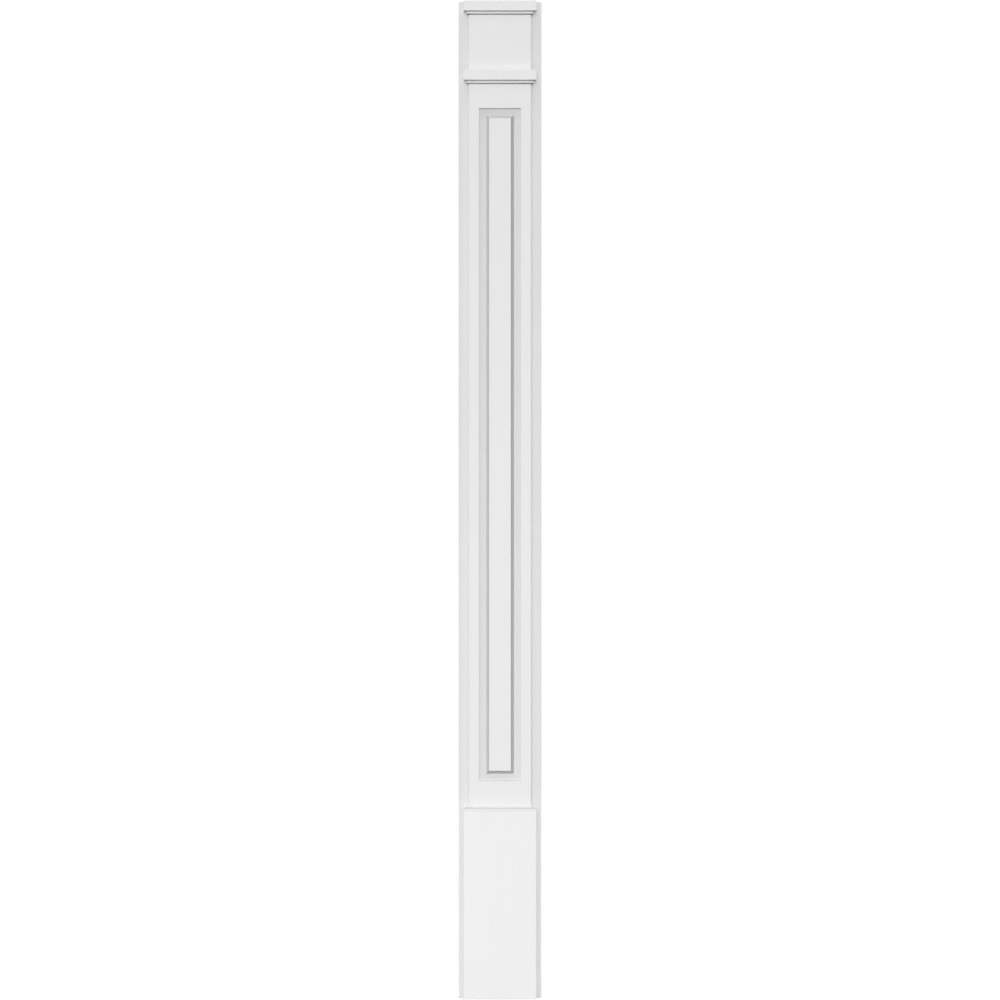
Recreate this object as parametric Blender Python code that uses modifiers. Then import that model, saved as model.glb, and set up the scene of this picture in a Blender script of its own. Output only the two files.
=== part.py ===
"""A raised-panel pilaster of white cellular PVC.

A flat back board carries a shaft board with one tall raised panel worked in its face. Two
mouldings wrapped round the shaft's head make a plain capital, and a tall plain plinth with a
moulded top edge wraps its foot.

Metres, +Z up. The front faces -Y. The origin is the middle of the back board's rear face,
which lies against the wall.
"""

import math

import bmesh
import bpy

# Overall size
HEIGHT = 2.1336
WIDTH = 0.1778
PROJECTION = 0.0508

# Back board
BACK_BOARD_THICKNESS = 0.01905
BACK_BOARD_MARGIN = 0.0111125

# How far the capital's mouldings and the plinth stand off the shaft, and their thin end on it
MOULDING_STEP = 0.0111125
MOULDING_LIP = 0.0010
ARC_SEGMENTS = 6

# Capital: each moulding is a flat fascia over a hollow, a fillet and a bevel
CAPITAL_HEIGHT = 0.1778
FASCIA_HEIGHT = 0.0213
HOLLOW_RUN = 0.0069
HOLLOW_DROP = 0.0040
FILLET_DROP = 0.0018
BEVEL_DROP = 0.0027

# Plinth: its flat face ends in a round shoulder, and a hollow rises from that to the shaft
PLINTH_HEIGHT = 0.4153
SHOULDER_RUN = 0.0029
SHOULDER_RISE = 0.0055
PLINTH_HOLLOW_RISE = 0.0076

# Frame and raised panel worked in the shaft
STILE_WIDTH = 0.0218
RAIL_HEIGHT = 0.0508
CHANNEL_SINK = 0.0100
CHANNEL_FALL = 0.0015
CHANNEL_WIDTH = 0.01485
PANEL_EDGE_WIDTH = 0.0069
PANEL_FIELD_SINK = 0.0006

# Small sizes
ARRIS_RADIUS = 0.0006
ARRIS_SEGMENTS = 2
CLEARANCE = 0.0003
CUTTER_OVERRUN = 0.01

# White cellular PVC
PVC_COLOUR = (0.83, 0.83, 0.82, 1.0)
PVC_ROUGHNESS = 0.55
PVC_METALLIC = 0.0

# Levels and depths worked out from the sizes above
TOP = HEIGHT / 2
FOOT = -HEIGHT / 2
MOULDING_WIDTH = WIDTH - 2 * BACK_BOARD_MARGIN
SHAFT_WIDTH = MOULDING_WIDTH - 2 * MOULDING_STEP
BOARD_FACE = -BACK_BOARD_THICKNESS
SHAFT_BACK = BOARD_FACE - CLEARANCE
SHAFT_FACE = MOULDING_STEP - PROJECTION
PROFILE_RUN = MOULDING_STEP - MOULDING_LIP
BEVEL_RUN = PROFILE_RUN - HOLLOW_RUN
MOULDING_HEIGHT = FASCIA_HEIGHT + HOLLOW_DROP + FILLET_DROP + BEVEL_DROP
CAPITAL_FOOT = TOP - CAPITAL_HEIGHT
PLINTH_HOLLOW_RUN = PROFILE_RUN - SHOULDER_RUN
PLINTH_TOP = FOOT + PLINTH_HEIGHT
PLINTH_FACE_TOP = PLINTH_TOP - SHOULDER_RISE - PLINTH_HOLLOW_RISE
PANEL_TOP = CAPITAL_FOOT - RAIL_HEIGHT
PANEL_FOOT = PLINTH_TOP + RAIL_HEIGHT
PANEL_WIDTH = SHAFT_WIDTH - 2 * STILE_WIDTH
PANEL_EDGE_RISE = CHANNEL_SINK + CHANNEL_FALL - PANEL_FIELD_SINK


def clear_scene():
    for thing in list(bpy.data.objects):
        bpy.data.objects.remove(thing, do_unlink=True)


def new_collection(name):
    collection = bpy.data.collections.new(name)
    bpy.context.scene.collection.children.link(collection)
    return collection


def pvc_material(name):
    material = bpy.data.materials.new(name)
    material.use_nodes = True
    shader = material.node_tree.nodes["Principled BSDF"]
    shader.inputs["Base Color"].default_value = PVC_COLOUR
    shader.inputs["Roughness"].default_value = PVC_ROUGHNESS
    shader.inputs["Metallic"].default_value = PVC_METALLIC
    material.diffuse_color = PVC_COLOUR
    return material


def box(low, high):
    """A bmesh box between two corners, its sizes already applied."""
    shape = bmesh.new()
    bmesh.ops.create_cube(shape, size=1.0)
    bmesh.ops.scale(shape, vec=[b - a for a, b in zip(low, high)], verts=shape.verts)
    bmesh.ops.translate(shape, vec=[(a + b) / 2 for a, b in zip(low, high)], verts=shape.verts)
    return shape


def face_towards(shape, direction):
    """The flat face of the shape whose normal points most nearly that way."""
    shape.normal_update()
    return max(shape.faces, key=lambda face: face.normal.dot(direction))


def add_piece(name, shape, collection):
    mesh = bpy.data.meshes.new(name)
    shape.to_mesh(mesh)
    shape.free()
    piece = bpy.data.objects.new(name, mesh)
    piece.data.materials.append(pvc_material(name + "_pvc"))
    collection.objects.link(piece)
    return piece


def add_cutter(name, shape, collection):
    cutter = add_piece(name, shape, collection)
    cutter.hide_render = True
    cutter.display_type = "WIRE"
    return cutter


def cut(piece, cutter):
    modifier = piece.modifiers.new("cut by " + cutter.name, "BOOLEAN")
    modifier.operation = "DIFFERENCE"
    modifier.solver = "EXACT"
    modifier.object = cutter


def ease_arrises(piece):
    modifier = piece.modifiers.new("eased arrises", "BEVEL")
    modifier.width = ARRIS_RADIUS
    modifier.segments = ARRIS_SEGMENTS


def back_board(parts):
    board = box((-WIDTH / 2, BOARD_FACE, FOOT), (WIDTH / 2, 0, TOP))
    ease_arrises(add_piece("back_board", board, parts))


def panel_cutter(cutters):
    """The space over the raised panel: a channel that deepens inwards, then the panel's sloping
    edge up to the field in the middle."""
    low = (-PANEL_WIDTH / 2, SHAFT_FACE - CUTTER_OVERRUN, PANEL_FOOT)
    high = (PANEL_WIDTH / 2, SHAFT_FACE + CHANNEL_SINK, PANEL_TOP)
    space = box(low, high)
    floor = face_towards(space, (0, 1, 0))
    steps = ((CHANNEL_WIDTH, -CHANNEL_FALL), (PANEL_EDGE_WIDTH, PANEL_EDGE_RISE))
    for width, rise in steps:
        bmesh.ops.inset_region(
            space, faces=[floor], thickness=width, depth=-rise, use_even_offset=True
        )
    return add_cutter("panel_cutter", space, cutters)


def shaft(parts, cutters):
    """The shaft board runs the whole height, behind the capital and the plinth."""
    board = box((-SHAFT_WIDTH / 2, SHAFT_FACE, FOOT), (SHAFT_WIDTH / 2, SHAFT_BACK, TOP))
    piece = add_piece("panelled_shaft", board, parts)
    ease_arrises(piece)
    cut(piece, panel_cutter(cutters))


def quarter_turn():
    return [math.pi / 2 * i / ARC_SEGMENTS for i in range(1, ARC_SEGMENTS + 1)]


def hollow(run, rise):
    """A concave quarter of an ellipse, which starts along the run and ends along the rise."""
    return [(run * math.sin(a), rise - rise * math.cos(a)) for a in quarter_turn()]


def rounded(run, rise):
    """A convex quarter of an ellipse, which starts along the rise and ends along the run."""
    return [(run - run * math.cos(a), rise * math.sin(a)) for a in quarter_turn()]


def in_turn(*curves):
    """(inward, along) points of the curves set end to end, from the edge of the flat face."""
    points = [(0.0, 0.0)]
    for curve in curves:
        start_in, start_along = points[-1]
        points += [(start_in + inward, start_along + along) for inward, along in curve]
    return points


def moulded_block(face_low, face_high, moulded_side, profile):
    """A block with a flat face between two levels, then the profile on top of it or below."""
    low = (-MOULDING_WIDTH / 2, -PROJECTION, face_low)
    high = (MOULDING_WIDTH / 2, PROJECTION, face_high)
    block = box(low, high)
    end = face_towards(block, (0, 0, moulded_side))
    for (inward, along), (next_inward, next_along) in zip(profile, profile[1:]):
        bmesh.ops.inset_region(
            block,
            faces=[end],
            thickness=next_inward - inward,
            depth=next_along - along,
            use_even_offset=True,
        )
    return block


def seat_cutters(cutters):
    """What the wrapped pieces leave free: the shaft, and all behind the back board's face."""
    reach = PROJECTION + CUTTER_OVERRUN
    low_end = FOOT - CUTTER_OVERRUN
    high_end = TOP + CUTTER_OVERRUN
    half_shaft = SHAFT_WIDTH / 2 + CLEARANCE
    shaft_space = box(
        (-half_shaft, SHAFT_FACE - CLEARANCE, low_end), (half_shaft, reach, high_end)
    )
    board_space = box((-WIDTH, BOARD_FACE - CLEARANCE, low_end), (WIDTH, 2 * reach, high_end))
    return (
        add_cutter("shaft_seat_cutter", shaft_space, cutters),
        add_cutter("board_seat_cutter", board_space, cutters),
    )


def wrapped_piece(name, block, parts, seats):
    piece = add_piece(name, block, parts)
    for seat in seats:
        cut(piece, seat)


def capital(parts, seats):
    """The cap moulding at the very top and the necking moulding at the capital's foot."""
    fillet = [(0.0, FILLET_DROP)]
    bevel = [(BEVEL_RUN, BEVEL_DROP)]
    underside = in_turn(hollow(HOLLOW_RUN, HOLLOW_DROP), fillet, bevel)
    levels = {"cap_moulding": TOP, "necking_moulding": CAPITAL_FOOT + MOULDING_HEIGHT}
    for name, level in levels.items():
        block = moulded_block(level - FASCIA_HEIGHT, level, -1, underside)
        wrapped_piece(name, block, parts, seats)


def plinth(parts, seats):
    edge = in_turn(
        rounded(SHOULDER_RUN, SHOULDER_RISE), hollow(PLINTH_HOLLOW_RUN, PLINTH_HOLLOW_RISE)
    )
    block = moulded_block(FOOT, PLINTH_FACE_TOP, 1, edge)
    wrapped_piece("plinth", block, parts, seats)


def pilaster():
    clear_scene()
    parts = new_collection("pilaster")
    cutters = new_collection("pilaster_cutters")
    back_board(parts)
    shaft(parts, cutters)
    seats = seat_cutters(cutters)
    capital(parts, seats)
    plinth(parts, seats)


pilaster()
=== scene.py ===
import math

import bmesh
import bpy
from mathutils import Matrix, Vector


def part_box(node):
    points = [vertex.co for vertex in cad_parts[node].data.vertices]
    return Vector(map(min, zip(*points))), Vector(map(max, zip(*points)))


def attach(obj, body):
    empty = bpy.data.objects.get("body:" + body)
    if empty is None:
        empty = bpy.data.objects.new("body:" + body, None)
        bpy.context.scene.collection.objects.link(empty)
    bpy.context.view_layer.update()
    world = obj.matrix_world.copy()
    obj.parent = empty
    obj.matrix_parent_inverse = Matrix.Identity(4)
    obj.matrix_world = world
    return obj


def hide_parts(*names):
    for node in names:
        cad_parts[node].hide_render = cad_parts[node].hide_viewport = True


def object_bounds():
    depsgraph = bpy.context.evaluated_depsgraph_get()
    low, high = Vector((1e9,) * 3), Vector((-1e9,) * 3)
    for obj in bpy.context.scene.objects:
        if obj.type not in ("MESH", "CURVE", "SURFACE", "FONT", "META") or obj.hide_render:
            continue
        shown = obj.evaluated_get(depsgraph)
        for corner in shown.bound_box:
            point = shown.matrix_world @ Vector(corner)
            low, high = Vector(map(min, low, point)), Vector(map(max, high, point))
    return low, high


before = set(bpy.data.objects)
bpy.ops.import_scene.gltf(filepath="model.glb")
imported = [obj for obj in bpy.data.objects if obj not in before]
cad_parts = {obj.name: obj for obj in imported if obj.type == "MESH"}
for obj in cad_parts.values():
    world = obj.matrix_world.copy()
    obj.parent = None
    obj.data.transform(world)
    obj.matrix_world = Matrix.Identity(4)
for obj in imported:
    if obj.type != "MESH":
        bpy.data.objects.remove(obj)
cad_low, cad_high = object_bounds()


# Back board
# A straight length of white cellular PVC sheet, 3/4 in thick, sawn to 7 in wide. Its faces keep
# the sheet's smooth skin and its edges are sawn. Everything else is glued to its front, and the
# margins left on both sides take the nails that fix the pilaster to the wall.

BOARD_ARRIS = 0.0004
ARRIS_STEPS = 3
ARRIS_REST = 0.0003
SMOOTH_ANGLE = math.radians(35)
SKIN_SIDE, SAWN_SIDE = 0, 1

PVC_IOR = 1.46
SKIN_GLOSS = 0.5
PEEL_SIZE = 0.0016
PEEL_DEPTH = 0.000022
DRAG_SIZE = 0.004
CLOUD_DULLING = 0.10
DRAG_DULLING = 0.08
SAWN_GLOSS = 0.35
SAWN_ROUGHNESS = 0.60
SAWN_CELL = 0.0011
SAWN_GRAIN = 0.0005
SAW_MARK = 0.0016
SAWN_DEPTH = 0.00004


class Wire:
    """An output socket of a node tree. Arithmetic on it adds Math nodes."""

    def __init__(self, socket):
        self.socket = socket

    def node(self, kind, settings=None, sockets=None, output=0):
        """Any other node: its settings first, then the values or the links of its sockets."""
        made = self.socket.id_data.nodes.new(kind)
        for name, value in (settings or {}).items():
            setattr(made, name, value)
        for name, value in (sockets or {}).items():
            if isinstance(value, Wire):
                made.id_data.links.new(value.socket, made.inputs[name])
            else:
                made.inputs[name].default_value = value
        return Wire(made.outputs[output]) if made.outputs else None

    def maths(self, operation, *terms):
        return self.node("ShaderNodeMath", {"operation": operation}, dict(enumerate(terms)))

    def __add__(self, other):
        return self.maths("ADD", self, other)

    def __radd__(self, other):
        return self.maths("ADD", other, self)

    def __sub__(self, other):
        return self.maths("SUBTRACT", self, other)

    def __rsub__(self, other):
        return self.maths("SUBTRACT", other, self)

    def __mul__(self, other):
        return self.maths("MULTIPLY", self, other)

    def __rmul__(self, other):
        return self.maths("MULTIPLY", other, self)

    def between(self, low, high):
        """0 up to low, 1 from high on, and a smooth turn in the middle."""
        return self.node(
            "ShaderNodeMapRange",
            {"interpolation_type": "SMOOTHSTEP"},
            {"Value": self, "From Min": low, "From Max": high},
        )

    def noise(self, size, detail=2.0):
        """Noise over this place, with features of about that size in metres."""
        return self.node(
            "ShaderNodeTexNoise", {}, {"Vector": self, "Scale": 1.0 / size, "Detail": detail}
        )

    def cells(self, size):
        """Distance to the middle of the nearest foam cell."""
        return self.node("ShaderNodeTexVoronoi", {}, {"Vector": self, "Scale": 1.0 / size})

    def blend(self, first, second):
        """A colour between two, by this share."""
        return self.node("ShaderNodeMix", {"data_type": "RGBA"}, {0: self, 6: first, 7: second}, 2)

    def relief(self, depth):
        """A normal bent by this height, whose full range stands for a depth in metres."""
        return self.node("ShaderNodeBump", {}, {"Strength": 1.0, "Distance": depth, "Height": self})


class Finish:
    """One white PVC finish: where its surface is, and the shader that its wires go into."""

    def __init__(self, name, gloss):
        self.material = bpy.data.materials.new(name)
        self.material.use_nodes = True
        self.shader = self.material.node_tree.nodes["Principled BSDF"]
        self.shader.inputs["IOR"].default_value = PVC_IOR
        self.shader.inputs["Specular IOR Level"].default_value = gloss
        start = self.material.node_tree.nodes.new("ShaderNodeTexCoord")
        self.place = Wire(start.outputs["Object"])

    def squeezed(self, x, y, z):
        """The place with its axes squeezed, so a texture is drawn out along the most squeezed."""
        return self.place.node(
            "ShaderNodeVectorMath", {"operation": "MULTIPLY"}, {0: self.place, 1: (x, y, z)}
        )

    def set(self, **wires):
        for name, wire in wires.items():
            socket = self.shader.inputs[name.replace("_", " ").title()]
            self.material.node_tree.links.new(wire.socket, socket)
        return self.material


def white(level, warmth=0.002):
    """A white of that level with a trace less blue."""
    return (level, level, level - warmth, 1)


def skin_finish(name, deep, pale, cloud, satin):
    """The sheet's own skin: a faintly clouded white with a very fine, drawn-out orange peel.
    Cloud is the size of its clouds, and satin the middle of its roughness."""
    finish = Finish(name, SKIN_GLOSS)
    clouds = finish.squeezed(1.0, 1.0, 0.25).noise(cloud, 3.0)
    peel = finish.squeezed(1.0, 1.0, 0.5).noise(PEEL_SIZE)
    drag = finish.squeezed(1.0, 1.0, 0.02).noise(DRAG_SIZE, 3.0)
    shade = clouds.between(0.3, 0.7) * 0.7 + drag.between(0.35, 0.65) * 0.3
    least_roughness = satin - (CLOUD_DULLING + DRAG_DULLING) / 2
    return finish.set(
        base_color=shade.blend(deep, pale),
        roughness=clouds * CLOUD_DULLING + drag * DRAG_DULLING + least_roughness,
        normal=(peel * 0.75 + drag * 0.25).relief(PEEL_DEPTH),
    )


def sawn_finish(name, deep, pale):
    """A cut through the foamed core: open cells, and faint saw marks across the length."""
    finish = Finish(name, SAWN_GLOSS)
    cells = finish.place.cells(SAWN_CELL)
    fine = finish.place.noise(SAWN_GRAIN)
    marks = finish.squeezed(0.02, 0.02, 1.0).noise(SAW_MARK)
    pits = cells.between(0.15, 0.75)
    return finish.set(
        base_color=(pits * 0.5 + marks.between(0.35, 0.65) * 0.5).blend(pale, deep),
        roughness=fine * 0.14 + SAWN_ROUGHNESS,
        normal=(marks * 0.5 + (1 - pits) * 0.3 + fine * 0.2).relief(SAWN_DEPTH),
    )


# The back board's skin is the same PVC as the shaft's, but its white is set darker: painted shade
# for the narrow margins beside the shaft and plinth.
BOARD_SKIN_WITH_PAINTED_SHADE = skin_finish(
    "back board sheet skin with painted shade", white(0.715), white(0.745), cloud=0.16, satin=0.56
)
BOARD_SAWN = sawn_finish("back board sawn edge", white(0.71, 0.005), white(0.76, 0.003))


def quarter(start, end, steps):
    """A quarter of an ellipse. It leaves the start along the first axis and meets the end along
    the second."""
    turns = [math.pi / 2 * i / steps for i in range(steps + 1)]
    runs = [(math.sin(a), 1 - math.cos(a)) for a in turns]
    return [
        (start[0] + (end[0] - start[0]) * u, start[1] + (end[1] - start[1]) * v) for u, v in runs
    ]


def eased_section(low, high, arris):
    """(inset, depth, side) of the rings of a board, from the middle of its back to its front."""
    rest = arris + ARRIS_REST
    back = quarter((arris, high.y), (0.0, high.y - arris), ARRIS_STEPS)
    front = quarter((low.y + arris, 0.0), (low.y, arris), ARRIS_STEPS)
    section = [(rest, high.y, SKIN_SIDE), (arris, high.y, SKIN_SIDE)]
    section += [(inset, depth, SAWN_SIDE) for inset, depth in back[1:]]
    section.append((0.0, high.y - rest, SAWN_SIDE))
    section.append((0.0, low.y + rest, SAWN_SIDE))
    section += [(inset, depth, SAWN_SIDE) for depth, inset in front]
    section.append((rest, low.y, SKIN_SIDE))
    return section


def join_rings(shape, before, after, side):
    """Closes the gap between two rings of four corners."""
    for i in range(4):
        j = (i + 1) % 4
        face = shape.faces.new((before[i], before[j], after[j], after[i]))
        face.material_index = side


def lay_rings(shape, low, high, section):
    """Rings of four corners, each set in from the box's edges by its inset at its own depth. The
    faces between two rings take the side of the later one."""
    rings = []
    for inset, depth, _ in section:
        x, foot, head = high.x - inset, low.z + inset, high.z - inset
        corners = ((-x, foot), (x, foot), (x, head), (-x, head))
        rings.append([shape.verts.new((cx, depth, cz)) for cx, cz in corners])
    for before, after, (_, _, side) in zip(rings, rings[1:], section[1:]):
        join_rings(shape, before, after, side)
    return rings


def make_piece(shape, name, node, finishes):
    """Turns a closed shape into the piece that stands for its CAD node."""
    bmesh.ops.recalc_face_normals(shape, faces=shape.faces)
    mesh = bpy.data.meshes.new(name)
    shape.to_mesh(mesh)
    shape.free()
    for finish in finishes:
        mesh.materials.append(finish)
    mesh.shade_smooth()
    mesh.set_sharp_from_angle(angle=SMOOTH_ANGLE)
    piece = bpy.data.objects.new(name, mesh)
    bpy.context.scene.collection.objects.link(piece)
    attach(piece, "root")
    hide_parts(node)


low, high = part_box("back_board")
board = bmesh.new()
rings = lay_rings(board, low, high, eased_section(low, high, BOARD_ARRIS))
board.faces.new(rings[0])
board.faces.new(rings[-1])
make_piece(board, "back_board_sheet", "back_board", [BOARD_SKIN_WITH_PAINTED_SHADE, BOARD_SAWN])
board_face = low.y


# Panelled shaft
# A second, narrower PVC board, glued up the middle of the back board. A router sinks a channel
# round its face and leaves the field standing inside it behind a steep shoulder. The milled
# faces are duller than the skin, and their white is set darker than the skin's: partly the
# open-celled foam, partly painted shade for the recess.

PANEL_STILE = 0.0218
PANEL_HEAD_DROP = 0.2286
PANEL_FOOT_RISE = 0.4661
CHANNEL_SINK = 0.0100
CHANNEL_FALL = 0.0015
CHANNEL_WIDTH = 0.01485
PANEL_EDGE_WIDTH = 0.0069
PANEL_FIELD_SINK = 0.0006
MILLED_SIDE = 2

MILLED_GLOSS = 0.3
MILLED_ROUGHNESS = 0.62
MILLED_CELL = 0.0009
MILLED_RIPPLE = 0.0028
MILLED_DEPTH = 0.00003

SHAFT_SKIN = skin_finish("shaft sheet skin", white(0.827), white(0.852), cloud=0.13, satin=0.52)


def milled_finish(name, deep, pale):
    """Routed foam: fine open cells under the ripple that the cutter leaves along its way."""
    finish = Finish(name, MILLED_GLOSS)
    cells = finish.place.cells(MILLED_CELL)
    ripple = finish.place.noise(MILLED_RIPPLE)
    pits = cells.between(0.2, 0.8)
    return finish.set(
        base_color=(pits * 0.6 + ripple.between(0.3, 0.7) * 0.4).blend(pale, deep),
        roughness=ripple * 0.12 + MILLED_ROUGHNESS,
        normal=(ripple * 0.6 + (1 - pits) * 0.4).relief(MILLED_DEPTH),
    )


# The channel's white is set well below the skin's: partly routed foam, partly painted shade in the
# recess and on its steep shoulder.
SHAFT_MILLED_WITH_PAINTED_SHADE = milled_finish("shaft milled channel with painted shade", white(0.665, 0.003), white(0.70, 0.003))

low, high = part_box("panelled_shaft")
shaft = bmesh.new()
rings = lay_rings(shaft, low, high, eased_section(low, high, BOARD_ARRIS))
shaft.faces.new(rings[0])
opening_low = Vector((low.x + PANEL_STILE, low.y, low.z + PANEL_FOOT_RISE))
opening_high = Vector((high.x - PANEL_STILE, low.y, high.z - PANEL_HEAD_DROP))
channel = [
    (0.0, low.y, SKIN_SIDE),
    (0.0, low.y + CHANNEL_SINK, MILLED_SIDE),
    (CHANNEL_WIDTH, low.y + CHANNEL_SINK + CHANNEL_FALL, MILLED_SIDE),
    (CHANNEL_WIDTH + PANEL_EDGE_WIDTH, low.y + PANEL_FIELD_SINK, MILLED_SIDE),
]
channel_rings = lay_rings(shaft, opening_low, opening_high, channel)
join_rings(shaft, rings[-1], channel_rings[0], SKIN_SIDE)
shaft.faces.new(channel_rings[-1])
make_piece(
    shaft, "shaft_board", "panelled_shaft", [SHAFT_SKIN, BOARD_SAWN, SHAFT_MILLED_WITH_PAINTED_SHADE]
)
shaft_half = high.x
shaft_face = low.y


# Capital mouldings
# Two runs of one PVC moulding, a flat fascia over a hollow, a fillet and a bevel, wrapped round
# the shaft's head and glued. Each is a front and two returns, mitred at the corners, and its top
# edge and bevel are cut. One is flush with the top and the other closes the plain neck. The cut
# top edge and bevel get a darker white: partly cut foam, partly painted shade on the ledge and
# under the fascia.

HOLLOW_RUN = 0.0069
HOLLOW_DROP = 0.0040
FILLET_DROP = 0.0018
BEVEL_DROP = 0.0027
THIN_END = 0.0005
PROFILE_STEPS = 16
MOULDING_ARRIS = 0.0003
MOULDING_REST = 3 * MOULDING_ARRIS
NOSE_CUT = 0.3 * MOULDING_ARRIS
MITRE_WIDTH = 0.00018
MITRE_DEPTH = 0.00012

MOULDING_SKIN = skin_finish(
    "extruded moulding skin", white(0.838), white(0.863), cloud=0.09, satin=0.50
)
# The cut faces' darker white is partly cut foam and partly painted shade: it dulls the top ledge
# and darkens the bevel under the moulding.
MOULDING_SAWN_WITH_PAINTED_SHADE = sawn_finish("moulding sawn edge with painted shade", white(0.69, 0.005), white(0.74, 0.003))


def wrap(shape, outline, back):
    """Sweeps an outline of (stand-off, level, side) points round three sides of the shaft. The
    faces between two points take the side of the later one. A hairline groove follows each
    mitre."""
    rings = []
    for off, level, _ in outline:
        x, y = shaft_half + off, shaft_face - off
        w, d = MITRE_WIDTH, MITRE_DEPTH
        left = ((-x, back), (-x, y + w), (-x + d, y + d), (-x + w, y))
        stations = left + tuple((-sx, sy) for sx, sy in reversed(left))
        rings.append([shape.verts.new((sx, sy, level)) for sx, sy in stations])
    for i, (_, _, side) in enumerate(outline):
        before, after = rings[i - 1], rings[i]
        for s in range(len(before) - 1):
            face = shape.faces.new((before[s], before[s + 1], after[s + 1], after[s]))
            face.material_index = side
    for end in (0, -1):
        shape.faces.new([ring[end] for ring in rings])


for node in ("cap_moulding", "necking_moulding"):
    low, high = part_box(node)
    stand = high.x - shaft_half
    seat = board_face - high.y
    top, foot = high.z, low.z
    fascia_foot = foot + HOLLOW_DROP + FILLET_DROP + BEVEL_DROP
    hollow_end = (stand - HOLLOW_RUN, fascia_foot - HOLLOW_DROP)
    ledge = [(seat, top), (stand - MOULDING_REST, top), (stand - MOULDING_ARRIS, top)]
    nose = [(stand - NOSE_CUT, top - NOSE_CUT), (stand, top - MOULDING_ARRIS)]
    fascia = [(stand, top - MOULDING_REST), (stand, fascia_foot + 2 * MOULDING_ARRIS)]
    hollow = quarter((stand, fascia_foot), hollow_end, PROFILE_STEPS)
    fillet = [(hollow_end[0], foot + BEVEL_DROP)]
    bevel = [(THIN_END, foot), (seat, foot)]
    outline = [(off, level, SAWN_SIDE) for off, level in ledge]
    outline += [(off, level, SKIN_SIDE) for off, level in nose + fascia + hollow + fillet]
    outline += [(off, level, SAWN_SIDE) for off, level in bevel]
    moulding = bmesh.new()
    wrap(moulding, outline, high.y)
    make_piece(moulding, node + "_run", node, [MOULDING_SKIN, MOULDING_SAWN_WITH_PAINTED_SHADE])


# Plinth
# A three-sided box of PVC sheet wrapped round the shaft's foot, its corners mitred and glued.
# The top edge is moulded: a round shoulder, then a hollow that rises to the shaft.

SHOULDER_RUN = 0.0029
SHOULDER_RISE = 0.0055
PLINTH_HOLLOW_RISE = 0.0076

# The plinth's skin is the same PVC as the shaft's, but its white is set lighter: painted light for
# the foot, which reads brighter.
PLINTH_SKIN_WITH_PAINTED_LIGHT = skin_finish("plinth sheet skin with painted light", white(0.875), white(0.90), cloud=0.15, satin=0.54)
# The moulded top edge's white is set below the plinth skin's: partly milled foam, partly painted
# shade on the upward-facing shoulder and hollow.
PLINTH_MILLED_WITH_PAINTED_SHADE = milled_finish("plinth milled edge with painted shade", white(0.795, 0.003), white(0.825, 0.003))

low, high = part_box("plinth")
stand = high.x - shaft_half
seat = board_face - high.y
hollow_foot = high.z - PLINTH_HOLLOW_RISE
shoulder_foot = hollow_foot - SHOULDER_RISE
shoulder_end = stand - SHOULDER_RUN
shoulder = quarter((shoulder_foot, stand), (hollow_foot, shoulder_end), PROFILE_STEPS)
hollow = quarter((shoulder_end, hollow_foot), (THIN_END, high.z), PROFILE_STEPS)
outline = [(seat, low.z, SKIN_SIDE), (stand, low.z, SAWN_SIDE)]
outline.append((stand, shoulder_foot - MOULDING_REST, SKIN_SIDE))
outline.append((stand, shoulder_foot, SKIN_SIDE))
outline += [(off, level, MILLED_SIDE) for level, off in shoulder[1:]]
outline += [(off, level, MILLED_SIDE) for off, level in hollow[1:]]
outline.append((seat, high.z, MILLED_SIDE))
plinth = bmesh.new()
wrap(plinth, outline, high.y)
make_piece(
    plinth, "plinth_box", "plinth", [PLINTH_SKIN_WITH_PAINTED_LIGHT, BOARD_SAWN, PLINTH_MILLED_WITH_PAINTED_SHADE]
)


# Studio
# A plain pale floor and a white surround. The soft light comes from ahead, from above and from
# the sides. A low soft box brightens the foot, and two lights behind keep the back from going
# dark.

CAMERA_DISTANCE = 8.67
VIEW_HEIGHT = 2.1351
SENSOR_WIDTH = 36.0
FLOOR_HALF_WIDTH = 6.0
FLOOR_WHITE = 0.9
FLOOR_ROUGHNESS = 0.9
FLOOR_GLOW = 0.35
WHITE_LIGHT = (1.0, 1.0, 1.0, 1.0)
SURROUND_SHOWN = 1.05
SURROUND_LIGHTING = 0.025
SOFT_BOX_WIDTH = 2.4
SOFT_BOX_HEIGHT = 0.5
SOFT_BOX_POWER = 19.4
SOFT_BOX_PLACE = (0.0, -3.2, -0.75)
FACING_WALL = (math.pi / 2, 0.0, 0.0)


def put_in_scene(name, data):
    thing = bpy.data.objects.new(name, data)
    bpy.context.scene.collection.objects.link(thing)
    return thing


camera_data = bpy.data.cameras.new("camera")
camera_data.sensor_width = SENSOR_WIDTH
camera_data.lens = SENSOR_WIDTH * CAMERA_DISTANCE / VIEW_HEIGHT
camera_data.clip_end = 100.0
camera = put_in_scene("camera", camera_data)
camera.location = (0.0, cad_low.y - CAMERA_DISTANCE, (cad_low.z + cad_high.z) / 2)
camera.rotation_euler = FACING_WALL
bpy.context.scene.camera = camera

floor_shape = bmesh.new()
bmesh.ops.create_grid(floor_shape, x_segments=1, y_segments=1, size=FLOOR_HALF_WIDTH)
floor_mesh = bpy.data.meshes.new("floor")
floor_shape.to_mesh(floor_mesh)
floor_shape.free()
floor_material = bpy.data.materials.new("pale floor")
floor_material.use_nodes = True
floor_finish = {
    "Base Color": white(FLOOR_WHITE, warmth=0.0),
    "Roughness": FLOOR_ROUGHNESS,
    "Specular IOR Level": 0.0,
    "Emission Color": WHITE_LIGHT,
    "Emission Strength": FLOOR_GLOW,
}
for socket, value in floor_finish.items():
    floor_material.node_tree.nodes["Principled BSDF"].inputs[socket].default_value = value
floor_mesh.materials.append(floor_material)
floor = put_in_scene("floor", floor_mesh)
floor.location.z = cad_low.z
floor.visible_diffuse = False
floor.visible_glossy = False

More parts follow.
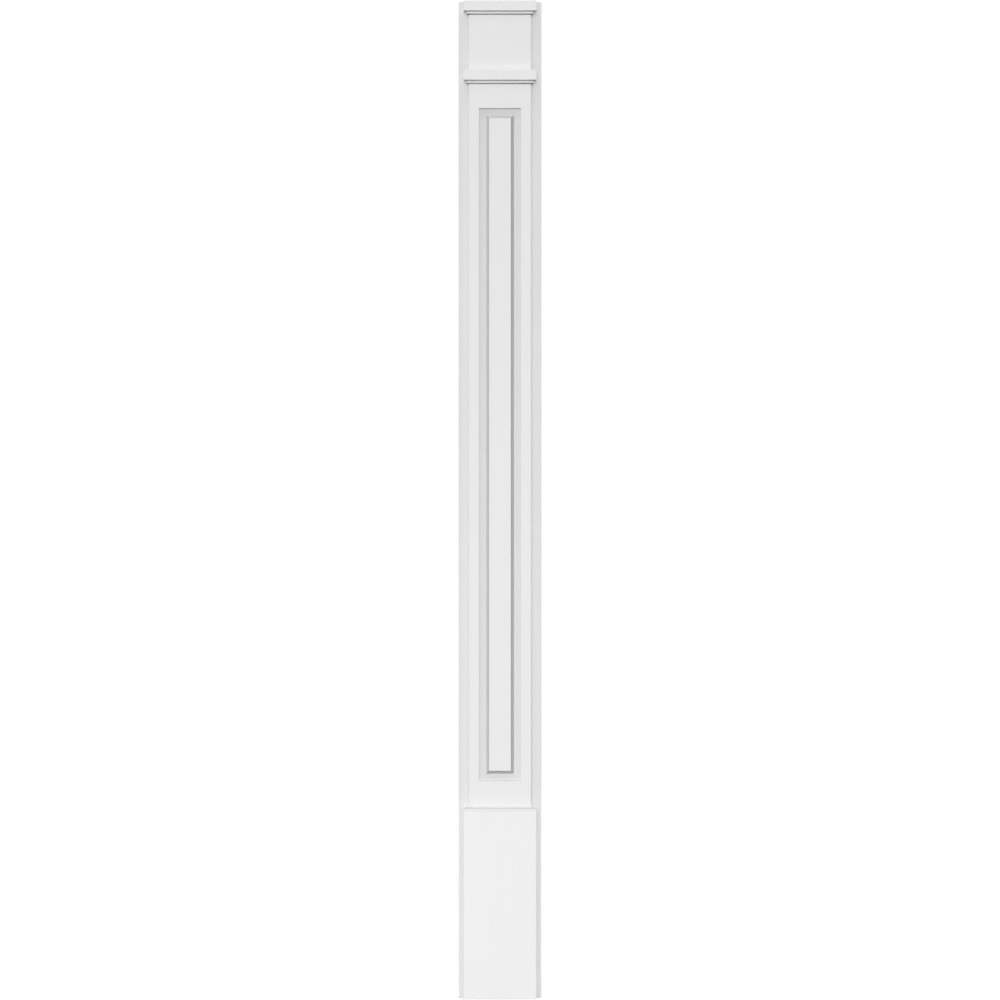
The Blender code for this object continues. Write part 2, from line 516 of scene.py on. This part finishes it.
world = bpy.data.worlds.new("white surround")
bpy.context.scene.world = world
world.use_nodes = True
world.node_tree.nodes.clear()
rays = Wire(world.node_tree.nodes.new("ShaderNodeLightPath").outputs["Is Camera Ray"])
shown, lighting = (
    rays.node("ShaderNodeBackground", {}, {"Color": WHITE_LIGHT, "Strength": strength})
    for strength in (SURROUND_SHOWN, SURROUND_LIGHTING)
)
surround = rays.node("ShaderNodeMixShader", {}, {0: rays, 1: lighting, 2: shown})
rays.node("ShaderNodeOutputWorld", {}, {"Surface": surround})


def distant_light(name, azimuth, elevation, spread, power, shadows=True):
    """A large soft light, far off: azimuth 0 is ahead of the pilaster, and minus is to its left."""
    data = bpy.data.lights.new(name, "SUN")
    data.energy = power
    data.angle = math.radians(spread)
    data.use_shadow = shadows
    a, e = math.radians(azimuth), math.radians(elevation)
    towards = Vector((math.sin(a) * math.cos(e), -math.cos(a) * math.cos(e), math.sin(e)))
    put_in_scene(name, data).rotation_euler = towards.to_track_quat("Z", "Y").to_euler()


distant_light("key", azimuth=-2, elevation=12, spread=14, power=0.86)
distant_light("even key", azimuth=-15, elevation=18, spread=10, power=1.25, shadows=False)
distant_light("left", azimuth=-30, elevation=32, spread=40, power=0.18)
distant_light("ceiling", azimuth=-2, elevation=60, spread=24, power=0.47)
distant_light("left side", azimuth=-112, elevation=15, spread=30, power=0.1)
distant_light("right side", azimuth=112, elevation=15, spread=30, power=0.8)
distant_light("behind left", azimuth=-150, elevation=25, spread=50, power=1.5)
distant_light("behind right", azimuth=150, elevation=25, spread=50, power=1.5)

soft_box = bpy.data.lights.new("low soft box", "AREA")
soft_box.shape = "RECTANGLE"
soft_box.size = SOFT_BOX_WIDTH
soft_box.size_y = SOFT_BOX_HEIGHT
soft_box.energy = SOFT_BOX_POWER
soft_box_lamp = put_in_scene("low soft box", soft_box)
soft_box_lamp.location = SOFT_BOX_PLACE
soft_box_lamp.rotation_euler = FACING_WALL

bpy.context.scene.view_settings.view_transform = "Standard"
bpy.context.scene.view_settings.look = "None"
